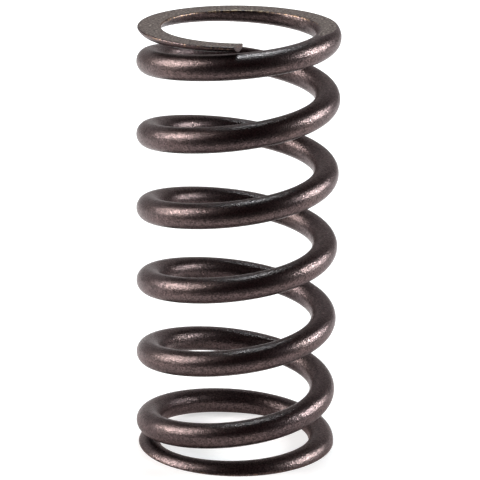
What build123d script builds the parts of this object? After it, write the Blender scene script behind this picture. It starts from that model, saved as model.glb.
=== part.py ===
"""Engine valve spring, coiled from one length of round oil-tempered wire, with closed and ground ends.

The spring stands on its bottom end, with +Z up along the coil's axis and the origin on that axis, in
the plane of the bottom ground face. It is wound right-handed, so the strands at the front (-Y) rise
towards +X. All lengths are in millimetres and all angles in degrees.

The wire keeps a round section and the coil keeps its diameter from tip to tip. Only the pitch changes:
it is small over the closed coil at each end, where the tip lies down on the next coil, opens smoothly,
and is then constant over the working coils. The two ends are ground flat and square to the axis, which
thins the last coil to a taper. A place along the wire is given in turns, counted from the bottom tip.
"""

from build123d import *

import math
import os

# The wire and the coil
wire_diameter = 3.2
outer_diameter = 25.4
free_length = 54.6
total_turns = 7.315
bottom_tip_angle = 160.0  # where the bottom tip lies, about +Z from +X

# The closed ends: turns at the closed pitch, from the tip on, and then turns over which the coil opens
bottom_closed_turns = 0.31
bottom_opening_turns = 1.14
top_closed_turns = 0.02
top_opening_turns = 1.68
tip_clearance = 0.15  # between a tip and the coil that it lies on
tip_thickness = 0.8  # what grinding leaves of the wire at its tip
tip_shear_angle = 26.0  # of the sheared end face, turned back from square at the outside of the coil

# How the centreline is laid out: it is one curve per turn, through evenly spaced points
points_per_turn = 12

wire_radius = wire_diameter / 2
coil_radius = (outer_diameter - wire_diameter) / 2
tip_half_width = math.sqrt(wire_radius**2 - (wire_radius - tip_thickness) ** 2)


def opened(turn, closed_turns, opening_turns):
    """How open the coil is, from 0 for closed to 1, at a turn counted from that end's tip."""
    x = min(max((turn - closed_turns) / opening_turns, 0.0), 1.0)
    return 3 * x**2 - 2 * x**3


def closed_length(turn, closed_turns, opening_turns):
    """The turns that count as closed up to there: the integral of 1 - opened."""
    x = min(max((turn - closed_turns) / opening_turns, 0.0), 1.0)
    open_length = opening_turns * (x**3 - x**4 / 2) + max(turn - closed_turns - opening_turns, 0.0)
    return turn - open_length


bottom_law = (bottom_closed_turns, bottom_opening_turns)
top_law = (top_closed_turns, top_opening_turns)

# The three pitches follow from two rises of one turn, each of which lays a tip on the coil next to it, and
# from the rise of the whole wire. The centreline ends where grinding cuts the wire down to its tip.
tip_rise = wire_diameter + tip_clearance
first_height = tip_thickness - wire_radius
last_height = free_length + wire_radius - tip_thickness
bottom_share = closed_length(total_turns, *bottom_law) / closed_length(1, *bottom_law)
top_share = closed_length(total_turns, *top_law) / closed_length(1, *top_law)
working_rise = last_height - first_height - tip_rise * (bottom_share + top_share)
working_pitch = working_rise / (total_turns - bottom_share - top_share)
bottom_pitch = working_pitch + (tip_rise - working_pitch) / closed_length(1, *bottom_law)
top_pitch = working_pitch + (tip_rise - working_pitch) / closed_length(1, *top_law)


def height(turn):
    """The centreline's height above the bottom ground face."""
    low = closed_length(turn, *bottom_law)
    high = closed_length(total_turns, *top_law) - closed_length(total_turns - turn, *top_law)
    closed_rise = (bottom_pitch - working_pitch) * low + (top_pitch - working_pitch) * high
    return first_height + working_pitch * turn + closed_rise


def pitch(turn):
    """The centreline's rise per turn, which is the derivative of its height."""
    low = 1 - opened(turn, *bottom_law)
    high = 1 - opened(total_turns - turn, *top_law)
    return working_pitch + (bottom_pitch - working_pitch) * low + (top_pitch - working_pitch) * high


def centre(turn):
    """The centreline's point."""
    angle = math.radians(bottom_tip_angle) + math.tau * turn
    return Vector(coil_radius * math.cos(angle), coil_radius * math.sin(angle), height(turn))


def travel(turn):
    """The centreline's derivative, in millimetres per turn."""
    angle = math.radians(bottom_tip_angle) + math.tau * turn
    around = math.tau * coil_radius
    return Vector(-around * math.sin(angle), around * math.cos(angle), pitch(turn))


def centreline_piece(start, end):
    """The centreline between two places, which keeps its true direction at both."""
    spans = math.ceil((end - start) * points_per_turn)
    turns = [start + (end - start) * i / spans for i in range(spans + 1)]
    points = [centre(turn) for turn in turns]
    return Edge.make_spline(points, tangents=[travel(start), travel(end)], parameters=turns, scale=False)


def coiled_wire():
    """The round wire along its whole centreline, before the ends are ground."""
    stops = [float(turn) for turn in range(math.ceil(total_turns))] + [total_turns]
    path = Wire([centreline_piece(start, end) for start, end in zip(stops, stops[1:])])
    section = Plane(origin=centre(0), z_dir=travel(0)) * Circle(wire_radius)
    return sweep(section, path=path, is_frenet=True)


def sheared_corner(turn, ground_height, into_wire):
    """The corner that the shear takes off a ground tip. It is a wedge on the tip's outside, so that the
    inner edge of the end face reaches the furthest. It runs past the wire's own surfaces a little, and stops
    halfway across the clearance to the next coil. The wire leads away from the tip counter-clockwise where
    into_wire is 1, and clockwise for -1."""
    angle = math.radians(bottom_tip_angle) + math.tau * turn
    outward = Vector(math.cos(angle), math.sin(angle), 0)
    overrun = tip_clearance
    inner = -tip_half_width - overrun
    outer = tip_half_width + overrun
    slope = math.tan(math.radians(tip_shear_angle))
    corners = [
        (inner, -overrun),
        (outer, -overrun),
        (outer, slope * (outer + tip_half_width)),
        (inner, slope * (inner + tip_half_width)),
    ]
    outline = Polyline([(x, into_wire * y) for x, y in corners], close=True)
    origin = outward * coil_radius + Vector(0, 0, ground_height)
    plane = Plane(origin=origin, x_dir=outward, z_dir=(0, 0, 1))
    depth = tip_thickness + tip_clearance / 2
    return extrude(plane * make_face(outline), amount=depth, both=True)


def valve_spring():
    """The coiled wire between its two grinding planes, with its tips sheared."""
    kept = Box(
        2 * outer_diameter,
        2 * outer_diameter,
        free_length,
        align=(Align.CENTER, Align.CENTER, Align.MIN),
    )
    ground = coiled_wire() & kept
    bottom_corner = sheared_corner(0, 0, 1)
    top_corner = sheared_corner(total_turns, free_length, -1)
    return ground - bottom_corner - top_corner


os.makedirs("parts", exist_ok=True)
export_step(valve_spring(), "parts/valve_spring.step")
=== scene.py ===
import math

import bpy
from mathutils import Matrix, Vector


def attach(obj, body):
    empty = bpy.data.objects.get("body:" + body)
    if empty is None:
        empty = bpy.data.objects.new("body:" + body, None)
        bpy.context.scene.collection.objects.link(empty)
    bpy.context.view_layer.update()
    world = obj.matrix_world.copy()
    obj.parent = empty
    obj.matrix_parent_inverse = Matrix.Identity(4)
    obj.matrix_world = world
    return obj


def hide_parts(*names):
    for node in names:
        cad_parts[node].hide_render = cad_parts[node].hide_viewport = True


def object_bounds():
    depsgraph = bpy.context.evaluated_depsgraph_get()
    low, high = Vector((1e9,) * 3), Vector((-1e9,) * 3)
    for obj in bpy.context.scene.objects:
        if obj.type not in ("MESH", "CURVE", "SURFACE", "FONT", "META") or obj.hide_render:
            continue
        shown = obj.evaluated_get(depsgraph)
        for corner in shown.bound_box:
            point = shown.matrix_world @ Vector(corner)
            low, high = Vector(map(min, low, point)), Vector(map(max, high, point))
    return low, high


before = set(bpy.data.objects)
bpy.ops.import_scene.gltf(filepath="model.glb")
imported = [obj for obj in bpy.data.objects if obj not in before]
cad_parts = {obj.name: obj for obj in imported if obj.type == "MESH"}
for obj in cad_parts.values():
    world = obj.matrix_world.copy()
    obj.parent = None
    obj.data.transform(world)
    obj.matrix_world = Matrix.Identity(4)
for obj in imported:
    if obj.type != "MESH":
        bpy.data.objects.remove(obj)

cad_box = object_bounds()
mm = 0.001

# Oil-tempered spring wire, shot-peened
# The wire is drawn chrome-silicon steel, hardened and tempered in oil, which leaves a thin dark brown oxide
# skin, and blasting the coiled spring with steel shot covers it with shallow dimples. To the eye it is a dark
# bronze metal with soft highlights that break up into fine specks, and bright steel at its worn ground edges.

peening_dimple = 0.16 * mm  # real dimples are 0.1 to 0.3 mm across
peening_depth = 0.024 * mm
dullest_painted_glint = 0.4  # how bright a dimple's painted glint is, as a factor on the colour of the oxide
brightest_painted_glint = 1.6
dull_dimple_roughness = 0.38
bright_dimple_roughness = 0.27
temper_patch = 4.0 * mm  # over which the colour of the oxide drifts
oxide_brown = "#4a4043"
oxide_bronze = "#574b48"
edge_chip = 0.4 * mm  # the size of the spots where the oxide has come off an edge
oxide_breaks = 0.44  # the wear at which the oxide starts to come off
oxide_gone = 0.6  # and the wear at which none is left
worn_steel = "#89735f"


def linear(hex_colour):
    """An sRGB hex colour as the linear colour that a shader takes."""
    channels = [int(hex_colour[i : i + 2], 16) / 255 for i in (1, 3, 5)]
    return [c / 12.92 if c <= 0.04045 else ((c + 0.055) / 1.055) ** 2.4 for c in channels] + [1.0]


def add(tree, kind, inputs=(), **settings):
    """Adds a node with its settings to a tree. An input takes a value, a socket or a node's first output."""
    node = tree.nodes.new(kind)
    for name, value in settings.items():
        setattr(node, name, value)
    for key, value in dict(inputs).items():
        if isinstance(value, bpy.types.Node):
            value = value.outputs[0]
        if isinstance(value, bpy.types.NodeSocket):
            tree.links.new(value, node.inputs[key])
        else:
            node.inputs[key].default_value = value
    return node


def new_material(name):
    """An empty material and its node tree."""
    material = bpy.data.materials.new(name)
    material.use_nodes = True
    material.node_tree.nodes.clear()
    return material, material.node_tree


peened_wire, tree = new_material("oil_tempered_steel_shot_peened")
place = add(tree, "ShaderNodeTexCoord").outputs["Object"]
dimples = add(tree, "ShaderNodeTexVoronoi", {"Vector": place, "Scale": 1 / peening_dimple})
temper = add(tree, "ShaderNodeTexNoise", {"Vector": place, "Scale": 1 / temper_patch, "Detail": 3.0})
oxide = add(
    tree,
    "ShaderNodeMix",
    {"Factor": temper.outputs["Fac"], "A": linear(oxide_brown), "B": linear(oxide_bronze)},
    data_type="RGBA",
)

# Each dimple catches the light by itself: its glint is painted as a random brightness of its own on the
# colour of the oxide, and it has its own roughness.
glint = add(tree, "ShaderNodeSeparateColor", {"Color": dimples.outputs["Color"]}).outputs["Red"]
painted_light = add(tree, "ShaderNodeMapRange", {"Value": glint, "To Min": dullest_painted_glint, "To Max": brightest_painted_glint})
oxide = add(tree, "ShaderNodeVectorMath", {0: oxide.outputs["Result"], "Scale": painted_light}, operation="SCALE")
roughness = add(
    tree,
    "ShaderNodeMapRange",
    {"Value": glint, "To Min": dull_dimple_roughness, "To Max": bright_dimple_roughness},
)

# The wear of the edges is stored in the wire's mesh, and the oxide comes off in chips where it is high.
wear = add(tree, "ShaderNodeAttribute", attribute_name="edge_wear").outputs["Fac"]
chips = add(tree, "ShaderNodeTexNoise", {"Vector": place, "Scale": 1 / edge_chip, "Detail": 3.0})
wear = add(tree, "ShaderNodeMath", {0: wear, 1: chips.outputs["Fac"]}, operation="MULTIPLY")
bared = add(tree, "ShaderNodeMapRange", {"Value": wear, "From Min": oxide_breaks, "From Max": oxide_gone})
colour = add(
    tree,
    "ShaderNodeMix",
    {"Factor": bared, "A": oxide, "B": linear(worn_steel)},
    data_type="RGBA",
)
bump = add(tree, "ShaderNodeBump", {"Height": dimples.outputs["Distance"], "Distance": peening_depth})
shader = add(
    tree,
    "ShaderNodeBsdfPrincipled",
    {
        "Base Color": colour.outputs["Result"],
        "Roughness": roughness,
        "Metallic": 1.0,
        "Specular Tint": linear("#d9d0d0"),
        "Coat Weight": 0.25,
        "Coat Roughness": 0.35,
        "Normal": bump,
        "Coat Normal": bump,
    },
)
add(tree, "ShaderNodeOutputMaterial", {"Surface": shader})


# Ground spring steel
# The two end faces are ground on a flat wheel and then peened and oiled with the rest. They are a matt,
# lighter grey-brown, with the faint straight marks of the wheel still in them, and a few bright specks.

grinding_mark = 0.12 * mm  # real marks are finer, and drawn this coarse so that they show
mark_slimness = 0.06  # a mark's width as a share of its length
mark_depth = 0.06 * mm
grit_mark = 0.3 * mm
grit_swing = 0.15  # how far the grit's pattern swings to either side of its middle, which is 0.5
grit_contrast = 0.65  # how much darker and brighter that makes the steel
grit_glints = 0.68  # the value of the pattern from which a spot starts to glint
grit_glints_fully = 0.72
marked_steel = "#645855"
ground_steel = "#7b6e69"
glinting_steel = "#c8bcb2"

ground_face, tree = new_material("spring_steel_ground")
place = add(tree, "ShaderNodeTexCoord").outputs["Object"]
across = add(tree, "ShaderNodeMapping", {"Vector": place, "Scale": (mark_slimness, 1.0, 1.0)})
marks = add(tree, "ShaderNodeTexNoise", {"Vector": across, "Scale": 1 / grinding_mark, "Detail": 3.0})
grit = add(tree, "ShaderNodeTexNoise", {"Vector": place, "Scale": 1 / grit_mark, "Detail": 2.0})
brightness = add(
    tree,
    "ShaderNodeMapRange",
    {
        "Value": grit.outputs["Fac"],
        "From Min": 0.5 - grit_swing,
        "From Max": 0.5 + grit_swing,
        "To Min": 1 - grit_contrast,
        "To Max": 1 + grit_contrast,
    },
)
colour = add(
    tree,
    "ShaderNodeMix",
    {"Factor": marks.outputs["Fac"], "A": linear(marked_steel), "B": linear(ground_steel)},
    data_type="RGBA",
)
colour = add(
    tree,
    "ShaderNodeVectorMath",
    {0: colour.outputs["Result"], "Scale": brightness},
    operation="SCALE",
)
glinting = add(
    tree,
    "ShaderNodeMapRange",
    {"Value": grit.outputs["Fac"], "From Min": grit_glints, "From Max": grit_glints_fully},
)
colour = add(
    tree,
    "ShaderNodeMix",
    {"Factor": glinting, "A": colour, "B": linear(glinting_steel)},
    data_type="RGBA",
)
height = add(tree, "ShaderNodeMath", {0: marks.outputs["Fac"], 1: grit.outputs["Fac"]}, operation="ADD")
bump = add(tree, "ShaderNodeBump", {"Height": height, "Distance": mark_depth})
shader = add(
    tree,
    "ShaderNodeBsdfPrincipled",
    {
        "Base Color": colour.outputs["Result"],
        "Roughness": 0.6,
        "Metallic": 1.0,
        "Specular Tint": linear("#bcbcbc"),
        "Normal": bump,
    },
)
add(tree, "ShaderNodeOutputMaterial", {"Surface": shader})


# The coiled wire
# The spring is one length of round wire, wound right-handed on an arbor. The pitch closes up at both ends,
# so that each tip lies down on the next coil, and the ends are then ground flat and square to the axis. The
# shear that cuts the wire leaves each tip's end face turned back at the outside of the coil.

outer_diameter = 2 * min(-cad_box[0].x, -cad_box[0].y, cad_box[1].x, cad_box[1].y)
free_length = cad_box[1].z - cad_box[0].z
wire_diameter = 3.2 * mm
total_turns = 7.315
bottom_tip_angle = math.radians(160.0)
bottom_closed_turns = 0.31
bottom_opening_turns = 1.14
top_closed_turns = 0.02
top_opening_turns = 1.68
tip_clearance = 0.15 * mm
tip_thickness = 0.8 * mm
tip_shear_angle = math.radians(26.0)
shear_stretch = 0.06  # the turns of wire over which the slant of the end face fades out
edge_radius = 0.18 * mm  # left on the ground edges by peening
tip_edge_softness = 0.05 * mm

# Grinding deeper into the round wire leaves a sharper edge, and a sharp one wears more. Angles are counted
# in radians round the wire, from straight down.
blunt_edge_angle = 0.3  # an edge that lies lower doesn't wear
sharp_edge_angle = 0.9  # an edge that lies higher wears fully
wear_reach = 0.35  # how far the wear goes past the rounding of the edge
inner_edge_wear = 1.0
outer_edge_wear = 0.84

# How finely the wire is divided, and how its mesh is finished
steps_per_turn = 96
steps_around = 48
weld_distance = 0.001 * mm
smooth_up_to = math.radians(15)  # a sharper edge stays a crease
softened_from = math.radians(30)  # a sharper edge is bevelled
least_level = 0.99999  # how far up or down a ground face's normal points, where 1 is straight


def closed_length(turn, closed_turns, opening_turns):
    """The turns that count as closed, up to a turn counted from the tip, while the coil opens smoothly."""
    x = min(max((turn - closed_turns) / opening_turns, 0.0), 1.0)
    open_length = opening_turns * (x**3 - x**4 / 2) + max(turn - closed_turns - opening_turns, 0.0)
    return turn - open_length


# The three pitches follow from two rises of one turn, each of which lays a tip on the coil next to it, and
# from the rise of the whole wire.
tip_rise = wire_diameter + tip_clearance
first_height = tip_thickness - wire_diameter / 2
bottom_law = (bottom_closed_turns, bottom_opening_turns)
top_law = (top_closed_turns, top_opening_turns)
bottom_share = closed_length(total_turns, *bottom_law) / closed_length(1, *bottom_law)
top_share = closed_length(total_turns, *top_law) / closed_length(1, *top_law)
working_rise = free_length - 2 * first_height - tip_rise * (bottom_share + top_share)
working_pitch = working_rise / (total_turns - bottom_share - top_share)
bottom_pitch = working_pitch + (tip_rise - working_pitch) / closed_length(1, *bottom_law)
top_pitch = working_pitch + (tip_rise - working_pitch) / closed_length(1, *top_law)


def new_group(name, inputs, outputs):
    """A Geometry Nodes group with named inputs and outputs, and its two end nodes."""
    group = bpy.data.node_groups.new(name, "GeometryNodeTree")
    for label, kind in inputs:
        group.interface.new_socket(label, in_out="INPUT", socket_type="NodeSocket" + kind)
    for label, kind in outputs:
        group.interface.new_socket(label, in_out="OUTPUT", socket_type="NodeSocket" + kind)
    return group, group.nodes.new("NodeGroupInput").outputs, group.nodes.new("NodeGroupOutput")


law_inputs = [
    ("Closed turns", "Float"),
    ("Opening turns", "Float"),
    ("Closed pitch", "Float"),
    ("Working pitch", "Float"),
]
size_inputs = [
    ("Wire diameter", "Float"),
    ("Outer diameter", "Float"),
    ("Tip thickness", "Float"),
    ("Tip shear angle", "Float"),
    ("Edge radius", "Float"),
]

# One point of the wire's surface, from a place along the wire, in turns from the tip, and a share of the way
# round it, which starts and ends at the two edges of the ground face. The wear tells how near an edge it is.
# First comes the height of the wire's middle, which is the sum of the pitch up to there.
surface, given, result = new_group(
    "Surface of the wire",
    [("Turn", "Float"), ("Way round", "Float")] + law_inputs + size_inputs,
    [("Position", "Vector"), ("Wear", "Float")],
)
opened = add(
    surface,
    "ShaderNodeMath",
    {0: given["Closed turns"], 1: given["Opening turns"]},
    operation="ADD",
)
x = add(
    surface,
    "ShaderNodeMapRange",
    {"Value": given["Turn"], "From Min": given["Closed turns"], "From Max": opened},
)
x_cubed = add(surface, "ShaderNodeMath", {0: x, 1: 3.0}, operation="POWER")
rest = add(surface, "ShaderNodeMath", {0: x, 1: -0.5, 2: 1.0}, operation="MULTIPLY_ADD")
opening = add(surface, "ShaderNodeMath", {0: x_cubed, 1: rest}, operation="MULTIPLY")
past = add(surface, "ShaderNodeMath", {0: given["Turn"], 1: opened}, operation="SUBTRACT")
past = add(surface, "ShaderNodeMath", {0: past, 1: 0.0}, operation="MAXIMUM")
open_length = add(
    surface,
    "ShaderNodeMath",
    {0: opening, 1: given["Opening turns"], 2: past},
    operation="MULTIPLY_ADD",
)
radius = add(surface, "ShaderNodeMath", {0: given["Wire diameter"], 1: 0.5}, operation="MULTIPLY")
start = add(surface, "ShaderNodeMath", {0: given["Tip thickness"], 1: radius}, operation="SUBTRACT")
extra = add(
    surface,
    "ShaderNodeMath",
    {0: given["Working pitch"], 1: given["Closed pitch"]},
    operation="SUBTRACT",
)
height = add(
    surface,
    "ShaderNodeMath",
    {0: given["Turn"], 1: given["Closed pitch"], 2: start},
    operation="MULTIPLY_ADD",
)
height = add(surface, "ShaderNodeMath", {0: open_length, 1: extra, 2: height}, operation="MULTIPLY_ADD")
pitch = add(
    surface,
    "ShaderNodeMapRange",
    {
        "Value": given["Turn"],
        "From Min": given["Closed turns"],
        "From Max": opened,
        "To Min": given["Closed pitch"],
        "To Max": given["Working pitch"],
    },
    interpolation_type="SMOOTHSTEP",
)
coil_radius = add(
    surface,
    "ShaderNodeMath",
    {0: given["Outer diameter"], 1: given["Wire diameter"]},
    operation="SUBTRACT",
)
coil_radius = add(surface, "ShaderNodeMath", {0: coil_radius, 1: 0.5}, operation="MULTIPLY")
one_turn = add(surface, "ShaderNodeMath", {0: coil_radius, 1: math.tau}, operation="MULTIPLY")
slope = add(surface, "ShaderNodeMath", {0: pitch, 1: one_turn}, operation="ARCTAN2")
slope_cosine = add(surface, "ShaderNodeMath", {0: slope}, operation="COSINE")
slope_sine = add(surface, "ShaderNodeMath", {0: slope}, operation="SINE")

# The ground face lies some way below the middle of the section. An arc rounds each of its edges, from
# straight down to where it meets the round of the wire, and both are reached in the direction of the same
# angle.
ground_drop = add(surface, "ShaderNodeMath", {0: height, 1: slope_cosine}, operation="DIVIDE")
arc_drop = add(surface, "ShaderNodeMath", {0: ground_drop, 1: given["Edge radius"]}, operation="SUBTRACT")
arc_reach = add(surface, "ShaderNodeMath", {0: radius, 1: given["Edge radius"]}, operation="SUBTRACT")
reach_squared = add(surface, "ShaderNodeMath", {0: arc_reach, 1: arc_reach}, operation="MULTIPLY")
drop_squared = add(surface, "ShaderNodeMath", {0: arc_drop, 1: arc_drop}, operation="MULTIPLY")
arc_offset = add(surface, "ShaderNodeMath", {0: reach_squared, 1: drop_squared}, operation="SUBTRACT")
arc_offset = add(surface, "ShaderNodeMath", {0: arc_offset, 1: 0.0}, operation="MAXIMUM")
arc_offset = add(surface, "ShaderNodeMath", {0: arc_offset}, operation="SQRT")
arc_end = add(surface, "ShaderNodeMath", {0: arc_offset, 1: arc_drop}, operation="ARCTAN2")
angle = add(surface, "ShaderNodeMath", {0: given["Way round"], 1: math.tau}, operation="MULTIPLY")
from_top = add(surface, "ShaderNodeMath", {0: math.pi, 1: angle}, operation="SUBTRACT")
side = add(surface, "ShaderNodeMath", {0: from_top}, operation="SIGN")
from_top = add(surface, "ShaderNodeMath", {0: from_top}, operation="ABSOLUTE")
from_down = add(surface, "ShaderNodeMath", {0: math.pi, 1: from_top}, operation="SUBTRACT")
on_arc = add(surface, "ShaderNodeMath", {0: from_down, 1: arc_end}, operation="LESS_THAN")
arc_side = add(surface, "ShaderNodeMath", {0: on_arc, 1: side}, operation="MULTIPLY")
middle_outward = add(surface, "ShaderNodeMath", {0: arc_side, 1: arc_offset}, operation="MULTIPLY")
middle_down = add(surface, "ShaderNodeMath", {0: on_arc, 1: arc_drop}, operation="MULTIPLY")
narrower = add(surface, "ShaderNodeMath", {0: on_arc, 1: arc_reach}, operation="MULTIPLY")
reach = add(surface, "ShaderNodeMath", {0: radius, 1: narrower}, operation="SUBTRACT")
sine = add(surface, "ShaderNodeMath", {0: angle}, operation="SINE")
cosine = add(surface, "ShaderNodeMath", {0: angle}, operation="COSINE")
outward = add(surface, "ShaderNodeMath", {0: sine, 1: reach, 2: middle_outward}, operation="MULTIPLY_ADD")
down = add(surface, "ShaderNodeMath", {0: cosine, 1: reach, 2: middle_down}, operation="MULTIPLY_ADD")
from_axis = add(surface, "ShaderNodeMath", {0: coil_radius, 1: outward}, operation="ADD")
back = add(surface, "ShaderNodeMath", {0: down, 1: slope_sine}, operation="MULTIPLY")
drop = add(surface, "ShaderNodeMath", {0: down, 1: slope_cosine}, operation="MULTIPLY")
level = add(surface, "ShaderNodeMath", {0: height, 1: drop}, operation="SUBTRACT")
section_point = add(surface, "ShaderNodeCombineXYZ", {"X": from_axis, "Y": back, "Z": level})

# The shear turns the end face back towards the outside, and that fades out over the first stretch of wire.
off_centre = add(surface, "ShaderNodeMath", {0: radius, 1: given["Tip thickness"]}, operation="SUBTRACT")
off_centre = add(surface, "ShaderNodeMath", {0: off_centre, 1: 2.0}, operation="POWER")
radius_squared = add(surface, "ShaderNodeMath", {0: radius, 1: 2.0}, operation="POWER")
half_width = add(surface, "ShaderNodeMath", {0: radius_squared, 1: off_centre}, operation="SUBTRACT")
half_width = add(surface, "ShaderNodeMath", {0: half_width}, operation="SQRT")
from_inside = add(surface, "ShaderNodeMath", {0: outward, 1: half_width}, operation="ADD")
shear = add(surface, "ShaderNodeMath", {0: given["Tip shear angle"]}, operation="TANGENT")
shear = add(surface, "ShaderNodeMath", {0: shear, 1: from_inside}, operation="MULTIPLY")
shear = add(surface, "ShaderNodeMath", {0: shear, 1: from_axis}, operation="DIVIDE")
fade = add(
    surface,
    "ShaderNodeMapRange",
    {"Value": given["Turn"], "From Max": shear_stretch, "To Min": 1.0, "To Max": 0.0},
)
shear = add(surface, "ShaderNodeMath", {0: shear, 1: fade}, operation="MULTIPLY")
turned = add(
    surface,
    "ShaderNodeMath",
    {0: given["Turn"], 1: math.tau, 2: shear},
    operation="MULTIPLY_ADD",
)
point = add(
    surface,
    "ShaderNodeVectorRotate",
    {"Vector": section_point, "Angle": turned},
    rotation_type="Z_AXIS",
)
surface.links.new(point.outputs[0], result.inputs["Position"])

# The oxide wears through where the edge is sharp enough, and a little way past its rounding.
past_arc = add(surface, "ShaderNodeMath", {0: from_down, 1: arc_end}, operation="SUBTRACT")
wear = add(surface, "ShaderNodeMapRange", {"Value": past_arc, "From Min": wear_reach, "From Max": 0.0})
sharpness = add(
    surface,
    "ShaderNodeMapRange",
    {"Value": arc_end, "From Min": blunt_edge_angle, "From Max": sharp_edge_angle},
)
wear = add(surface, "ShaderNodeMath", {0: wear, 1: sharpness}, operation="MULTIPLY")
side_wear = add(
    surface,
    "ShaderNodeMapRange",
    {"Value": side, "From Min": -1.0, "To Min": inner_edge_wear, "To Max": outer_edge_wear},
)
wear = add(surface, "ShaderNodeMath", {0: wear, 1: side_wear}, operation="MULTIPLY")
surface.links.new(wear.outputs[0], result.inputs["Wear"])

# Half of the spring, from one tip to the middle, standing on its ground face: the round side of the wire, the
# ground face as a strip between its two edges, and the sheared end face.
half, given, result = new_group(
    "Half of the spring",
    [("Turns", "Float"), ("Steps per turn", "Int"), ("Steps around", "Int")] + law_inputs + size_inputs,
    [("Geometry", "Geometry")],
)
steps = add(half, "ShaderNodeMath", {0: given["Turns"], 1: given["Steps per turn"]}, operation="MULTIPLY")
rows = add(half, "ShaderNodeMath", {0: steps, 1: 1.0}, operation="ADD")
columns = add(half, "ShaderNodeMath", {0: given["Steps around"], 1: 1.0}, operation="ADD")
shared = {name: given[name] for name, kind in law_inputs + size_inputs}


def wrapped(mesh, turn, way_round):
    """A flat mesh laid on the wire's surface, with the wear stored in it."""
    placed = add(half, "GeometryNodeGroup", node_tree=surface)
    for name, socket in {**shared, "Turn": turn, "Way round": way_round}.items():
        half.links.new(socket, placed.inputs[name])
    mesh = add(
        half,
        "GeometryNodeStoreNamedAttribute",
        {"Geometry": mesh, "Name": "edge_wear", "Value": placed.outputs["Wear"]},
    )
    return add(half, "GeometryNodeSetPosition", {"Geometry": mesh, "Position": placed.outputs["Position"]})


def grid_on_wire(column_count):
    """A grid as long as the half and with so many columns, laid on the wire's surface."""
    grid = add(half, "GeometryNodeMeshGrid", {"Vertices X": rows, "Vertices Y": column_count})
    uv = add(half, "ShaderNodeSeparateXYZ", {"Vector": grid.outputs["UV Map"]}).outputs
    turn = add(half, "ShaderNodeMath", {0: uv["X"], 1: given["Turns"]}, operation="MULTIPLY")
    return wrapped(grid.outputs["Mesh"], turn.outputs[0], uv["Y"])


round_side = grid_on_wire(columns)
flat_side = add(half, "GeometryNodeFlipFaces", {"Mesh": grid_on_wire(2)})
disc = add(half, "GeometryNodeMeshCircle", {"Vertices": columns}, fill_type="NGON")
index = add(half, "GeometryNodeInputIndex")
way_round = add(half, "ShaderNodeMath", {0: index, 1: given["Steps around"]}, operation="DIVIDE")
tip = add(half, "ShaderNodeValue")
tip.outputs[0].default_value = 0.0
end_face = wrapped(disc.outputs["Mesh"], tip.outputs[0], way_round.outputs[0])
joined = add(half, "GeometryNodeJoinGeometry")
for part in (round_side, flat_side, end_face):
    half.links.new(part.outputs[0], joined.inputs[0])
half.links.new(joined.outputs[0], result.inputs["Geometry"])

# The whole spring: the bottom half turned to its tip's place, the top half turned upside down on it, and the
# seams between all of their parts welded. Only the ground faces stay flat and have the ground steel.
spring_inputs = [
    ("Total turns", "Float"),
    ("Free length", "Float"),
    ("Working pitch", "Float"),
    ("Bottom closed turns", "Float"),
    ("Bottom opening turns", "Float"),
    ("Bottom closed pitch", "Float"),
    ("Top closed turns", "Float"),
    ("Top opening turns", "Float"),
    ("Top closed pitch", "Float"),
    ("Bottom tip angle", "Float"),
    ("Steps per turn", "Int"),
    ("Steps around", "Int"),
    ("Wire material", "Material"),
    ("Ground material", "Material"),
]
whole, given, result = new_group("Valve spring", spring_inputs + size_inputs, [("Geometry", "Geometry")])
half_turns = add(whole, "ShaderNodeMath", {0: given["Total turns"], 1: 0.5}, operation="MULTIPLY")
halves = {}
for end in ("Bottom", "Top"):
    halves[end] = add(whole, "GeometryNodeGroup", node_tree=half)
    whole.links.new(half_turns.outputs[0], halves[end].inputs["Turns"])
    for name in ["Steps per turn", "Steps around", "Working pitch"] + [label for label, kind in size_inputs]:
        whole.links.new(given[name], halves[end].inputs[name])
    for name in ("closed turns", "opening turns", "closed pitch"):
        whole.links.new(given[f"{end} {name}"], halves[end].inputs[name.capitalize()])
top_tip_angle = add(
    whole,
    "ShaderNodeMath",
    {0: given["Total turns"], 1: math.tau, 2: given["Bottom tip angle"]},
    operation="MULTIPLY_ADD",
)
bottom_rotation = add(whole, "ShaderNodeCombineXYZ", {"Z": given["Bottom tip angle"]})
top_rotation = add(whole, "ShaderNodeCombineXYZ", {"X": math.pi, "Z": top_tip_angle})
top_place = add(whole, "ShaderNodeCombineXYZ", {"Z": given["Free length"]})
bottom_half = add(
    whole,
    "GeometryNodeTransform",
    {"Geometry": halves["Bottom"], "Rotation": bottom_rotation},
)
top_half = add(
    whole,
    "GeometryNodeTransform",
    {"Geometry": halves["Top"], "Rotation": top_rotation, "Translation": top_place},
)
joined = add(whole, "GeometryNodeJoinGeometry")
whole.links.new(bottom_half.outputs[0], joined.inputs[0])
whole.links.new(top_half.outputs[0], joined.inputs[0])
welded = add(whole, "GeometryNodeMergeByDistance", {"Geometry": joined, "Distance": weld_distance})
edge_angle = add(whole, "GeometryNodeInputMeshEdgeAngle").outputs["Unsigned Angle"]
is_smooth = add(whole, "FunctionNodeCompare", {"A": edge_angle, "B": smooth_up_to}, operation="LESS_THAN")
creased = add(
    whole,
    "GeometryNodeSetShadeSmooth",
    {"Geometry": welded, "Shade Smooth": is_smooth},
    domain="EDGE",
)
normal = add(whole, "GeometryNodeInputNormal")
normal_rise = add(whole, "ShaderNodeSeparateXYZ", {"Vector": normal}).outputs["Z"]
levelness = add(whole, "ShaderNodeMath", {0: normal_rise}, operation="ABSOLUTE")
is_ground = add(whole, "FunctionNodeCompare", {"A": levelness, "B": least_level}, operation="GREATER_THAN")
is_round = add(whole, "FunctionNodeBooleanMath", {0: is_ground}, operation="NOT")
creased = add(
    whole,
    "GeometryNodeSetShadeSmooth",
    {"Geometry": creased, "Shade Smooth": is_round},
    domain="FACE",
)
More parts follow.
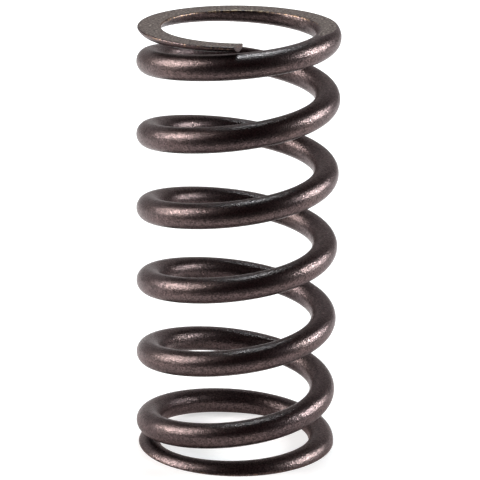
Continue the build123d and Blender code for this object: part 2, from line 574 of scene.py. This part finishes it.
real = add(whole, "GeometryNodeRealizeInstances", {"Geometry": creased})
coated = add(whole, "GeometryNodeSetMaterial", {"Geometry": real, "Material": given["Wire material"]})
coated = add(
    whole,
    "GeometryNodeSetMaterial",
    {"Geometry": coated, "Selection": is_ground, "Material": given["Ground material"]},
)
whole.links.new(coated.outputs[0], result.inputs["Geometry"])

blank = bpy.data.objects.new("spring_blank", bpy.data.meshes.new("spring_blank"))
bpy.context.scene.collection.objects.link(blank)
winding = blank.modifiers.new("winding", "NODES")
winding.node_group = whole
spring_sizes = {
    "Total turns": total_turns,
    "Free length": free_length,
    "Working pitch": working_pitch,
    "Bottom closed turns": bottom_closed_turns,
    "Bottom opening turns": bottom_opening_turns,
    "Bottom closed pitch": bottom_pitch,
    "Top closed turns": top_closed_turns,
    "Top opening turns": top_opening_turns,
    "Top closed pitch": top_pitch,
    "Bottom tip angle": bottom_tip_angle,
    "Steps per turn": steps_per_turn,
    "Steps around": steps_around,
    "Wire material": peened_wire,
    "Ground material": ground_face,
    "Wire diameter": wire_diameter,
    "Outer diameter": outer_diameter,
    "Tip thickness": tip_thickness,
    "Tip shear angle": tip_shear_angle,
    "Edge radius": edge_radius,
}
for socket in whole.interface.items_tree:
    if socket.in_out == "INPUT":
        winding[socket.identifier] = spring_sizes[socket.name]
edges = blank.modifiers.new("softened edges", "BEVEL")
edges.width = tip_edge_softness
edges.segments = 2
edges.limit_method = "ANGLE"
edges.angle_limit = softened_from
edges.harden_normals = True

graph = bpy.context.evaluated_depsgraph_get()
spring_mesh = bpy.data.meshes.new_from_object(blank.evaluated_get(graph), depsgraph=graph)
spring_mesh.materials.pop(index=0)  # an empty slot, which comes from the blank
spring = bpy.data.objects.new("coiled_wire", spring_mesh)
bpy.context.scene.collection.objects.link(spring)
bpy.data.objects.remove(blank)
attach(spring, "root")
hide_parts("valve_spring")


# The floor and the backdrop
# The spring stands on white paper, with a white wall behind it and a low round wall that closes the room. The
# camera sees all of it white, apart from the soft shadow under the spring. The metal sees the floor with a
# painted shadow round its foot, and slightly warm and fading out in painted shade in front, where the room is
# dark. The paper's own colour is painted darker in front as well.

floor_size = 4.0
wall_size = 2.8
wall_offset = -0.55  # the wall's middle lies to the left of the spring
wall_distance = 1.2  # behind the spring
round_wall_radius = 2.0
round_wall_height = 0.6
round_wall_sides = 96
shadow_reach = 0.15  # the floor's shadow fades out from there to twice as far
foot_shadow_radius = 16 * mm  # where the painted shadow on the floor is darkest in the metal, round the spring's foot
lit_radius = 45 * mm  # from where on the floor isn't painted darker any more
floor_edge = 0.052  # about where the floor fades out in painted shade in the metal, in front of the spring's axis
wall_edge = 2.0  # far enough down that the wall fades out below the floor only
white_until = 0.4  # how far towards its edge the paper stays white, as a share
dim_from = 1.6  # and how far past it the paper is dim in painted shade
# how much of the paper's whiteness is left in the painted shade
painted_dim_whiteness = 0.08
# The paper's own colour where it is lit, and the painted shade of it in front, where the lamps reach less.
lit_paper = "#c4c4c4"
painted_shade_paper = "#2c2c2c"
front_glow = "#ffe3df"  # the light that the metal sees from the floor in front of the spring
back_glow = "#ffffff"  # and from behind it


def stage_sheet(name, material):
    """Makes the sheet that was added last a part of the studio."""
    sheet = bpy.context.object
    sheet.name = name
    sheet.data.materials.append(material)


def white_paper(name, mirrored_strength, front_edge, shadow_share=0.0, foot_shadow_share=0.0):
    """White paper that the camera sees white, apart from the share that it leaves to the lamps near its
    middle, which shows their shadow. Metal sees it at its own strength, which fades out in painted shade in
    front of an edge and loses a share to a painted shadow at the spring's foot. Its own colour is painted
    darker in front of the edge as well."""
    material, tree = new_material(name)
    rays = add(tree, "ShaderNodeLightPath").outputs
    place = add(tree, "ShaderNodeTexCoord").outputs["Object"]
    depth = add(tree, "ShaderNodeSeparateXYZ", {"Vector": place}).outputs["Y"]
    distance = add(tree, "ShaderNodeVectorMath", {0: place}, operation="LENGTH").outputs["Value"]
    # Painted shade: towards the front the paper dims, both in its glow for the metal and in its own colour.
    painted_whiteness = add(
        tree,
        "ShaderNodeMapRange",
        {
            "Value": depth,
            "From Min": -dim_from * front_edge,
            "From Max": -white_until * front_edge,
            "To Min": painted_dim_whiteness,
        },
        interpolation_type="SMOOTHSTEP",
    )
    shadow = add(
        tree,
        "ShaderNodeMapRange",
        {
            "Value": distance,
            "From Min": shadow_reach,
            "From Max": 2 * shadow_reach,
            "To Min": shadow_share,
            "To Max": 0.0,
        },
    )
    shadow = add(tree, "ShaderNodeMath", {0: shadow, 1: painted_whiteness}, operation="MULTIPLY")
    seen = add(tree, "ShaderNodeMath", {0: 1.0, 1: shadow}, operation="SUBTRACT")
    mirrored = add(
        tree,
        "ShaderNodeMath",
        {0: rays["Is Glossy Ray"], 1: rays["Is Transmission Ray"]},
        operation="ADD",
    )
    mirrored = add(tree, "ShaderNodeMath", {0: mirrored, 1: mirrored_strength}, operation="MULTIPLY")
    mirrored = add(tree, "ShaderNodeMath", {0: mirrored, 1: painted_whiteness}, operation="MULTIPLY")
    # Painted shadow: round the spring's foot the metal sees the floor darker.
    painted_foot_shadow = add(
        tree,
        "ShaderNodeMapRange",
        {"Value": distance, "From Min": foot_shadow_radius, "From Max": lit_radius, "To Min": 1 - foot_shadow_share},
    )
    mirrored = add(tree, "ShaderNodeMath", {0: mirrored, 1: painted_foot_shadow}, operation="MULTIPLY")
    strength = add(
        tree,
        "ShaderNodeMath",
        {0: rays["Is Camera Ray"], 1: seen, 2: mirrored},
        operation="MULTIPLY_ADD",
    )
    behind = add(tree, "ShaderNodeMapRange", {"Value": depth, "From Max": lit_radius})
    neutral = add(tree, "ShaderNodeMath", {0: rays["Is Camera Ray"], 1: behind}, operation="MAXIMUM")
    glow_colour = add(
        tree,
        "ShaderNodeMix",
        {"Factor": neutral, "A": linear(front_glow), "B": linear(back_glow)},
        data_type="RGBA",
    )
    glow = add(tree, "ShaderNodeEmission", {"Color": glow_colour.outputs["Result"], "Strength": strength})
    # The paper's own colour, painted darker in front as shade.
    painted_light = add(
        tree,
        "ShaderNodeMix",
        {"Factor": painted_whiteness, "A": linear(painted_shade_paper), "B": linear(lit_paper)},
        data_type="RGBA",
    )
    paper = add(tree, "ShaderNodeBsdfDiffuse", {"Color": painted_light.outputs["Result"]})
    both = add(tree, "ShaderNodeAddShader", {0: glow, 1: paper})
    add(tree, "ShaderNodeOutputMaterial", {"Surface": both})
    return material


floor_paper = white_paper(
    "white_floor",
    mirrored_strength=0.8,
    front_edge=floor_edge,
    shadow_share=0.4,
    foot_shadow_share=0.55,
)
wall_paper = white_paper("white_wall", mirrored_strength=0.5, front_edge=wall_edge)
round_wall_paper = white_paper("dim_white_wall", mirrored_strength=0.03, front_edge=round_wall_radius)

bpy.ops.mesh.primitive_plane_add(size=floor_size)
stage_sheet("floor", floor_paper)
bpy.ops.mesh.primitive_plane_add(
    size=wall_size,
    location=(wall_offset, wall_distance, 0),
    rotation=(math.pi / 2, 0, 0),
)
stage_sheet("backdrop", wall_paper)
bpy.ops.mesh.primitive_cylinder_add(
    vertices=round_wall_sides,
    radius=round_wall_radius,
    depth=round_wall_height,
    end_fill_type="NOTHING",
)
stage_sheet("round_wall", round_wall_paper)


# The studio light
# Two soft boxes stand left and right of the spring, a little above it, and the left one is slightly warm. A
# small cool one hangs almost overhead. The rest of the room is dim and reddish, which leaves the dark bands
# along the wire.

room_colour = "#35191d"


def soft_box(name, azimuth, elevation, distance, width, tall, power, colour):
    """A soft box that faces the middle of the spring. Azimuth is counted from the camera's side."""
    lamp = bpy.data.lights.new(name, "AREA")
    lamp.shape = "RECTANGLE"
    lamp.size = width
    lamp.size_y = tall
    lamp.energy = power
    lamp.color = linear(colour)[:3]
    holder = bpy.data.objects.new(name, lamp)
    a = math.radians(azimuth)
    e = math.radians(elevation)
    towards = Vector((math.sin(a) * math.cos(e), -math.cos(a) * math.cos(e), math.sin(e)))
    holder.location = Vector((0, 0, free_length / 2)) + towards * distance
    holder.rotation_euler = towards.to_track_quat("Z", "Y").to_euler()
    bpy.context.scene.collection.objects.link(holder)


soft_box(
    "left_box", azimuth=-88, elevation=29, distance=0.5, width=0.28, tall=0.30, power=3.4, colour="#fff9f5"
)
soft_box(
    "right_box", azimuth=97, elevation=21, distance=0.6, width=0.20, tall=0.17, power=4.4, colour="#ffffff"
)
soft_box(
    "top_box", azimuth=176, elevation=75, distance=0.6, width=0.12, tall=0.09, power=2.0, colour="#e1fbff"
)

world = bpy.data.worlds.new("studio_room")
world.use_nodes = True
tree = world.node_tree
tree.nodes.clear()
background = add(tree, "ShaderNodeBackground", {"Color": linear(room_colour)})
add(tree, "ShaderNodeOutputWorld", {"Surface": background})
bpy.context.scene.world = world


# The camera
# It looks down a little on the middle of the spring through a long lens, as the photograph does.

camera_elevation = math.radians(16.63)
camera_roll = math.radians(0.59)
camera_distance = 335.5 * mm
camera_aim = Vector((0.39 * mm, 0.0, 27.03 * mm))
nearest_seen = 10 * mm
farthest_seen = 20.0
photo_width = 480
focal_length = 2656.0  # in pixels of the photograph

camera_data = bpy.data.cameras.new("photo_camera")
camera_data.lens = camera_data.sensor_width * focal_length / photo_width
camera_data.clip_start = nearest_seen
camera_data.clip_end = farthest_seen
camera = bpy.data.objects.new("photo_camera", camera_data)
bpy.context.scene.collection.objects.link(camera)
forward = Vector((0.0, math.cos(camera_elevation), -math.sin(camera_elevation)))
level_right = Vector((1.0, 0.0, 0.0))
level_up = level_right.cross(forward)
right = level_right * math.cos(camera_roll) + level_up * math.sin(camera_roll)
up = level_up * math.cos(camera_roll) - level_right * math.sin(camera_roll)
camera.matrix_world = Matrix.Translation(camera_aim - forward * camera_distance) @ (
    Matrix((right, up, -forward)).transposed().to_4x4()
)
bpy.context.scene.camera = camera
bpy.context.scene.view_settings.view_transform = "Standard"
